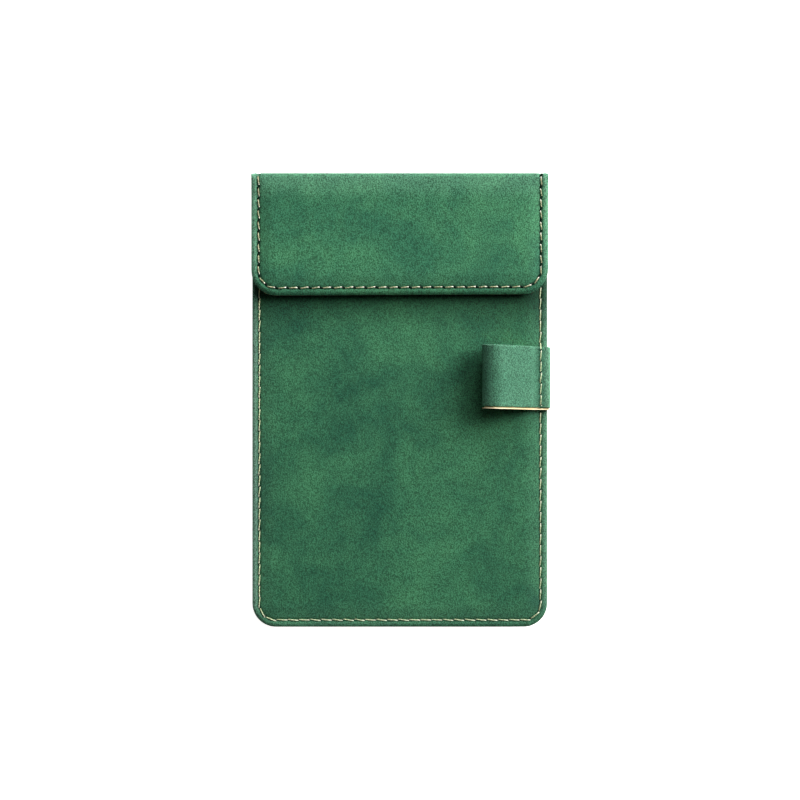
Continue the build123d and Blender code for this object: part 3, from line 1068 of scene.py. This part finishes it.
def loop_line():
    """The loop strip's outer face as (x, z) points, from its tail under the cover's edge, round the
    edge, over the seam, up to the nose and back along the cover to the seam."""
    edge_x, top_z, low_z = wrap_high[0], wrap_high[2], wrap_low[2]
    bend = 0.85
    nose_low = loop_low[2]
    radius = (loop_high[2] - nose_low) / 2 * 0.9
    nose_x = loop_low[0] + radius - 0.35
    nose_z = loop_high[2] - radius
    reach, climb = HALF - 0.6 - nose_x, nose_z - nose_low
    slope = atan2(climb, reach) + asin(radius / hypot(reach, climb))
    rise = tan(slope)
    leave_x = nose_x + radius * sin(slope)
    leave_z = nose_z + radius * cos(slope)
    line = [(x, low_z) for x in spaced(HALF - 3.9, edge_x - bend, 0.5)]
    line += arc((edge_x - bend, low_z + bend), bend, -pi / 2, pi / 2, 0.2)
    line += [(edge_x, z) for z in spaced(low_z + bend, top_z - bend, 0.5)]
    line += arc((edge_x - bend, top_z - bend), bend, 0.0, pi / 2, 0.2)
    line += [(x, top_z) for x in falling(edge_x - bend, STACK_X, 0.4)]
    climb_x = HALF - 5.6
    for t in spaced(0.0, 1.0, 0.08):
        x = STACK_X + (climb_x - STACK_X) * t
        straight = leave_z - (x - leave_x) * rise
        line.append((x, top_z + (straight - top_z) * smooth_step(0.0, 1.0, t)))
    line += [(x, leave_z - (x - leave_x) * rise) for x in falling(climb_x, leave_x, 0.6)]
    line += arc((nose_x, nose_z), radius, pi / 2 - slope, pi + slope, 0.1)
    for x in spaced(nose_x, HALF - 0.9, 0.4):
        step = front_step * board_lift(HALF, front_length, x, front_length / 2)
        panel_z = front_margin + step + 0.06
        drop = smooth_step(nose_x, HALF - 7.5, x)
        line.append((x, nose_z - radius + (panel_z - nose_z + radius) * drop))
    return line


def strip_piece(name, line, outer, inner, foot_y, head_y, material, lip=0.0):
    """A band of even width that follows a line of (x, z) points, between two depths under it.
    Its foot edge comes up to the line itself over the width of the lip."""
    width = head_y - foot_y
    fine = [0.0, 0.06, 0.15, 0.3]
    across = fine + spaced(0.7, width - 0.7, 0.8) + [width - value for value in [0.7] + fine[::-1]]
    top, bottom, rims, folds = [], [], [], []
    for (x, z), (out_x, out_z) in zip(line, side_ways(line)):
        share = loop_thin(x)
        near, far = outer * share, inner * share
        for w in across:
            rim = min(w, width - w)
            drop = edge_roll(rim, roll=0.3, drop=0.22) if outer == 0.0 else 0.0
            y = foot_y + w + LOOP_SKEW * (HALF - 8.0 - x)
            soft = 0.05 * hand(x * 1.5, y * 1.5, seed=3.3, reach=8.0)
            face = (near if w > lip else 0.06) + drop - soft
            top.append((x - out_x * face, y, z - out_z * face))
            bottom.append((x - out_x * far, y, z - out_z * far))
            rims.append(rim + 0.8)
            folds.append(x)
    faces = sheet_faces(len(across), len(line))
    values = {"rim": rims * 2, "wear": [1.0] * (2 * len(rims)), "fold": folds * 2}
    return mesh_piece(name, top + bottom, faces, material, values)


loop_path = without_repeats(loop_line())
loop_foot = loop_low[1]
loop_head = loop_high[1]
loop_strip = strip_piece("pen_loop_strip", loop_path, 0.0, LOOP_SKIN, loop_foot, loop_head, LOOP_GREEN)
loop_raw = strip_piece(
    "pen_loop_raw_edge", loop_path, LOOP_SKIN, LOOP_THICK, loop_edge_low[1], loop_head - 0.1, CREAM,
    lip=RAW_LIP,
)

# ------------------------------------------------------------ front, back and spine seams

front_seam_path = []
loop_lift = wrap_high[2] - front_margin + 0.22
for x, y, z in front_panel.seam(SEAM_INSET, top=front_length - 1.5, lift=0.06):
    if x > 0:
        past_foot = smooth_step(loop_foot - 0.5, loop_foot + 0.2, y)
        past_head = smooth_step(loop_head - 0.2, loop_head + 0.5, y)
        z += past_foot * (1.0 - past_head) * loop_lift
    front_seam_path.append((x, y, z))
front_thread = sew(
    "front_seam_thread", FINE_TREE, front_seam_path, UP,
    Length=3.15, Radius=0.18, Rise=0.3, Sink=0.1, Slant=-0.13, Flatness=1.0, Wander=0.05,
)
front_holes = sew(
    "front_seam_holes", HOLE_TREE, front_seam_path, UP, shift=0.5,
    Length=0.5, Radius=0.17, Rise=0.1, Sink=0.03, Slant=-0.22, Flatness=0.7, Wander=0.3,
)

back_seam_path = back_panel.seam(SEAM_INSET, top=back_run - 0.5, lift=-0.02)
back_thread = sew(
    "back_seam_thread", FINE_TREE, back_seam_path, DOWN,
    Length=2.9, Radius=0.15, Rise=0.12, Sink=0.12, Slant=0.1, Flatness=1.0, Wander=0.05,
)


def spine_path(side, panel, run, length):
    """The seam on one side of half the spine, from past the fold to the spine's middle."""
    past_fold = 1.4
    x = side * (HALF - SEAM_INSET)
    return [panel.surface(x, v, lift=0.03) for v in spaced(run + past_fold, length, 0.3)]


spine_threads = []
for side, word in ((-1.0, "left"), (1.0, "right")):
    lower = spine_path(side, back_panel, back_run, back_length)
    upper = spine_path(side, flap_panel, flap_run, flap_length)
    spine_threads.append(sew(
        "spine_seam_thread_" + word, THREAD_TREE, lower + upper[::-1], SPINE_OUT,
        Length=2.75, Radius=0.2, Rise=0.25, Sink=0.22, Slant=0.12, Flatness=1.0, Wander=0.05,
    ))

# ------------------------------------------------------------ paper pad


def pad_leaves():
    """Separate sheets of paper, each a little out of true with the rest."""
    count = 38
    room = 0.15
    points, faces = [], []
    low_z = sheets_low[2]
    step = (sheets_high[2] - low_z) / count
    gap = step * 0.06
    for index in range(count):
        slip = 0.12 * hand(index * 9.0, 3.0, seed=5.1)
        trim = 0.16 * abs(hand(3.0, index * 7.0, seed=9.1))
        left, right = sheets_low[0] + room + slip, sheets_high[0] - room + slip
        foot, top = sheets_low[1] + room + trim, sheets_high[1] - 0.05
        bottom = low_z + step * index + gap
        upper = low_z + step * (index + 1) - gap
        base = len(points)
        for z in (bottom, upper):
            points += [(left, foot, z), (right, foot, z), (right, top, z), (left, top, z)]
        faces += [
            (base, base + 3, base + 2, base + 1), (base + 4, base + 5, base + 6, base + 7),
            (base, base + 1, base + 5, base + 4), (base + 1, base + 2, base + 6, base + 5),
            (base + 2, base + 3, base + 7, base + 6), (base + 3, base, base + 4, base + 7),
        ]
    piece = mesh_piece("pad_leaves", points, faces, PAPER)
    for polygon in piece.data.polygons:
        polygon.use_smooth = False
    return piece


def swept_across(name, line, thickness, half, material, ripple=0.0):
    """A band that follows a line of (y, z) points and runs across the book. It lies on the line's left
    side, or on its right with a negative thickness."""
    across = spaced(-half, half, 2.0) + [half]
    top, bottom = [], []
    for (y, z), (side_y, side_z) in zip(line, side_ways(line)):
        for x in across:
            lift = ripple * hand(x, y * 3 + z, seed=2.2, reach=6.0)
            depth = thickness - lift
            top.append((x, y - side_y * lift, z - side_z * lift))
            bottom.append((x, y + side_y * depth, z + side_z * depth))
    return mesh_piece(name, top + bottom, sheet_faces(len(across), len(line)), material)


def tape_line():
    """The binding cloth's outer face: over the pad, down its head and back under it."""
    bend = 0.5
    front_y, head_y = tape_low[1], tape_high[1]
    low_z, high_z = tape_low[2], tape_high[2]
    line = [(y, high_z) for y in spaced(front_y, head_y - bend, 1.0)]
    line += arc((head_y - bend, high_z - bend), bend, pi / 2, -pi / 2, 0.3)
    line += [(head_y, z) for z in falling(high_z - bend, low_z + bend, 0.5)]
    line += arc((head_y - bend, low_z + bend), bend, 0.0, -pi / 2, 0.3)
    line += [(y, low_z) for y in falling(head_y - bend, front_y, 1.0)]
    return line


leaves = pad_leaves()
tape = swept_across("pad_binding_cloth", without_repeats(tape_line()), 0.18, sheets_high[0], CLOTH, 0.02)


def staple_wires():
    """Two bright wire staples pressed through the head of the pad."""
    half_crown = 6.0
    room = 0.25
    tip = 2.2
    corner = 0.5
    curve = bpy.data.curves.new("pad_staple_wires", "CURVE")
    curve.dimensions = "3D"
    curve.bevel_depth = 0.24 * MM
    curve.bevel_resolution = 3
    curve.use_fill_caps = True
    reach = half_crown - room
    middle = staples_high[0] - half_crown
    y = (staples_low[1] + staples_high[1]) / 2
    top = staples_high[2] - room
    low = staples_low[2] + room
    half_wire = [
        (tip, low), (reach - corner, low), (reach, low + corner),
        (reach, top - corner), (reach - corner, top),
    ]
    for side in (-1.0, 1.0):
        centre = side * middle
        wire = [(centre - x, y, z) for x, z in half_wire]
        add_line(curve, wire + [(centre + x, y, z) for x, z in half_wire[::-1]])
    guide = link(bpy.data.objects.new("pad_staple_guide", curve))
    mesh = as_mesh(guide)
    bpy.data.objects.remove(guide)
    mesh.materials.clear()
    mesh.materials.append(STEEL)
    return link(bpy.data.objects.new("pad_staple_wires", mesh))


staple_piece = staple_wires()

# ------------------------------------------------------------ hinge strip


def hinge_line():
    """The hinge strip's outer face: a foot on the back lining, a wall, and a leg under the front cover."""
    bend = 0.62
    wall_y = strip_high[1]
    low_z, top_z, leg_z = strip_low[2], strip_high[2], leg_high[2]
    turn_y = wall_y - bend
    drop_y = leg_high[1] - 0.2
    line = [(y, low_z) for y in spaced(strip_low[1], turn_y, 0.5)]
    line += arc((turn_y, low_z + bend), bend, -pi / 2, pi / 2, 0.25)
    line += [(wall_y, z) for z in spaced(low_z + bend, top_z - bend, 0.35)]
    line += arc((turn_y, top_z - bend), bend, 0.0, pi / 2, 0.2)
    for t in spaced(0.0, 1.0, 0.2):
        line.append((turn_y + (drop_y - turn_y) * t, top_z + (leg_z - top_z) * smooth_step(0.0, 1.0, t)))
    line += [(y, leg_z) for y in falling(drop_y, leg_low[1], 0.5)]
    return line


STRIP_THICK = 0.55
hinge_strip = swept_across("hinge_strip", without_repeats(hinge_line()), -STRIP_THICK, strip_high[0], TAN)

# ------------------------------------------------------------ card pocket


def card_pocket():
    """The pocket that holds the pad's card: a thin leather front with a thumb notch, turned down round
    three sides on to the lining."""
    low_y, high_y = pocket_low[1], pocket_high[1]
    half = pocket_high[0]
    top_z = pocket_high[2]
    drop = top_z - pocket_low[2] - 0.55
    notch = 9.0

    def height(x, v):
        rim = edge_distance(half, BOARD_CORNER, None, x, v)
        turned = 1.0 - smooth_step(0.5, 2.1, rim)
        return -drop * turned - edge_roll(rim, roll=0.4, drop=0.2)

    panel = Panel(half, high_y - low_y, BOARD_CORNER, flat_path(low_y, top_z, 1.0), height, 0.45)
    piece = panel.build("card_pocket", TAN, row_step=1.0, column_step=1.2)
    cut = bpy.data.meshes.new("notch_cutter")
    work = bmesh.new()
    bmesh.ops.create_cone(
        work, cap_ends=True, segments=48, radius1=notch * MM, radius2=notch * MM, depth=6.0 * MM,
    )
    for vert in work.verts:
        vert.co.y += high_y * MM
        vert.co.z += top_z * MM
    work.to_mesh(cut)
    work.free()
    cutter = link(bpy.data.objects.new("notch_cutter", cut))
    modifier = piece.modifiers.new("notch", "BOOLEAN")
    modifier.operation = "DIFFERENCE"
    modifier.object = cutter
    mesh = as_mesh(piece)
    piece.modifiers.remove(modifier)
    piece.data = mesh
    mesh.name = "card_pocket"
    bpy.data.objects.remove(cutter)
    return piece


pocket = card_pocket()

# ------------------------------------------------------------ what rides on what


def on(body, piece, slot, *nodes):
    """piece moves with one body and stands for the named nodes, which are hidden. slot is not used."""
    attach(piece, body)
    if nodes:
        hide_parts(*nodes)


def bends(first, second, piece, slot, start, end, *nodes):
    """piece has its place baked into its points, and the named nodes are hidden. The two bodies are not
    used; start and end, in millimetres, are made into metres and not used further.
    """
    start, end = [tuple(value * MM for value in place) for place in (start, end)]
    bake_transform(piece)
    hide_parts(*nodes)


bends(
    "back", "spine", back_skin, "green_leather", (0.0, HEAD - 1.6, 0.0), (0.0, HEAD, 1.6),
    "back_leather", "spine_leather",
)
bends(
    "spine", "flap", flap_skin, "green_leather", (0.0, HEAD, TOP - 1.6), (0.0, HEAD - 1.6, TOP),
    "flap_leather",
)
lining_head = spine_lining_low[1]
bends(
    "back", "spine", back_lining, "lining_leather",
    (0.0, lining_head - 0.6, 2.0), (0.0, lining_head + 0.2, 2.6), "back_lining", "spine_lining",
)
bends(
    "spine", "flap", flap_lining, "lining_leather",
    (0.0, lining_head + 0.2, flap_lining_low[2] - 0.7), (0.0, lining_head - 0.6, flap_lining_low[2] + 0.1),
    "flap_lining",
)
bends(
    "back", "front_cover", hinge_strip, "lining_leather",
    (0.0, strip_high[1] - 0.3, strip_high[2] - 1.5), (0.0, strip_high[1] - 0.65, strip_high[2] - 0.9),
    "hinge_strip_fixed", "hinge_strip_moving",
)
loop_start = (HALF - 2.3, 0.0, wrap_high[2])
loop_end = (HALF - 3.3, 0.0, wrap_high[2] + 0.6)
bends(
    "front_cover", "pen_loop", loop_strip, "green_leather", loop_start, loop_end,
    "pen_loop_anchor", "pen_loop_leather",
)
bends("front_cover", "pen_loop", loop_raw, "raw_edge", loop_start, loop_end, "pen_loop_lining")

on("front_cover", front_skin, "green_leather", "front_leather")
on("front_cover", front_lining, "lining_leather", "front_lining")
on("front_cover", front_thread, "thread", "front_seam")
on("front_cover", front_holes, "green_leather")
on("flap", flap_thread, "thread", "flap_seam")
on("flap", flap_holes, "green_leather")
on("back", back_thread, "thread", "back_seam")
on("spine", spine_threads[0], "thread", "spine_seam")
on("spine", spine_threads[1], "thread")
on("back", leaves, "paper", "pad_sheets")
on("back", tape, "tape", "pad_tape")
on("back", staple_piece, "steel", "pad_staples")
on("back", pocket, "lining_leather", "pad_pocket")

for node, material in (
    ("back_board", BOARD), ("front_board", BOARD), ("flap_board", BOARD), ("pad_card", KRAFT),
    ("flap_magnets", NICKEL), ("strike_plates", NICKEL),
):
    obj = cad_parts[node]
    obj.data.materials.clear()
    obj.data.materials.append(material)

# ------------------------------------------------------------ stage, light and camera


WHITE = (1.0, 1.0, 1.0, 1.0)
BLACK = (0.0, 0.0, 0.0, 1.0)
FLOOR_GLOW = 0.94
WALL_GLOW = 1.12
WORLD_GLOW = 0.055
LENS = 64.65
SENSOR = 36.0
CAMERA_PLACE = (0.06, 0.22, 448.0)


def stage_floor():
    s = Shader("white_table")
    p = s.place()
    tone = s.noise(p, 60.0, 2.0)
    color = s.mix(tone, srgb(250, 250, 250), srgb(255, 255, 255))
    s.finish(
        color, 0.9, None, Specular_IOR_Level=0.1, Emission_Color=WHITE, Emission_Strength=FLOOR_GLOW,
    )
    size = 3.0
    corners = [(-size, -size, 0), (size, -size, 0), (size, size, 0), (-size, size, 0)]
    mesh = bpy.data.meshes.new("floor")
    mesh.from_pydata(corners, [], [(0, 1, 2, 3)])
    mesh.materials.append(s.material)
    floor = link(bpy.data.objects.new("floor", mesh))
    floor.location.z = -0.2 * MM


def stage_wall():
    """A pale wall far round the table. Only the camera sees it, so it adds no light."""
    s = Shader("white_wall")
    tone = s.noise(s.place(), 900.0, 1.0)
    color = s.mix(tone, srgb(246, 246, 246), srgb(255, 255, 255))
    s.finish(
        BLACK, 1.0, None, Specular_IOR_Level=0.0, Emission_Color=color, Emission_Strength=WALL_GLOW,
    )
    radius, low, high, sides = 2.9, -0.01, 4.0, 64
    ring = arc((0.0, 0.0), radius, 0.0, 2 * pi, 2 * pi / sides)
    points = [(x, y, z) for z in (low, high) for x, y in ring]
    faces = [(i, sides + i, sides + (i + 1) % sides, (i + 1) % sides) for i in range(sides)]
    mesh = bpy.data.meshes.new("wall")
    mesh.from_pydata(points, [], faces)
    mesh.materials.append(s.material)
    wall = link(bpy.data.objects.new("wall", mesh))
    wall.visible_diffuse = False
    wall.visible_glossy = False
    wall.visible_shadow = False


def soft_box(name, way, distance, size, power, tint):
    """A square studio light that looks at the middle of the book."""
    data = bpy.data.lights.new(name, "AREA")
    data.shape = "SQUARE"
    data.size = size
    data.energy = power
    data.color = tint
    lamp = link(bpy.data.objects.new(name, data))
    direction = Vector(way).normalized()
    lamp.location = direction * distance
    lamp.rotation_euler = direction.to_track_quat("Z", "Y").to_euler()


stage_floor()
stage_wall()
soft_box("key_light", (0.78, 0.46, 0.53), distance=1.3, size=0.75, power=27.0, tint=(1.0, 0.995, 0.97))
soft_box("head_light", (0.2, 1.0, 0.52), distance=1.4, size=0.6, power=12.0, tint=(1.0, 1.0, 1.0))

world = bpy.data.worlds.new("studio")
world.use_nodes = True
sky = world.node_tree.nodes["Background"]
sky.inputs["Color"].default_value = WHITE
sky.inputs["Strength"].default_value = WORLD_GLOW
bpy.context.scene.world = world
bpy.context.scene.view_settings.view_transform = "Standard"
bpy.context.scene.view_settings.look = "None"

camera_data = bpy.data.cameras.new("camera")
camera_data.lens = LENS
camera_data.sensor_width = SENSOR
camera_data.clip_end = 20.0
camera = link(bpy.data.objects.new("camera", camera_data))
camera.location = Vector(CAMERA_PLACE) * MM
bpy.context.scene.camera = camera
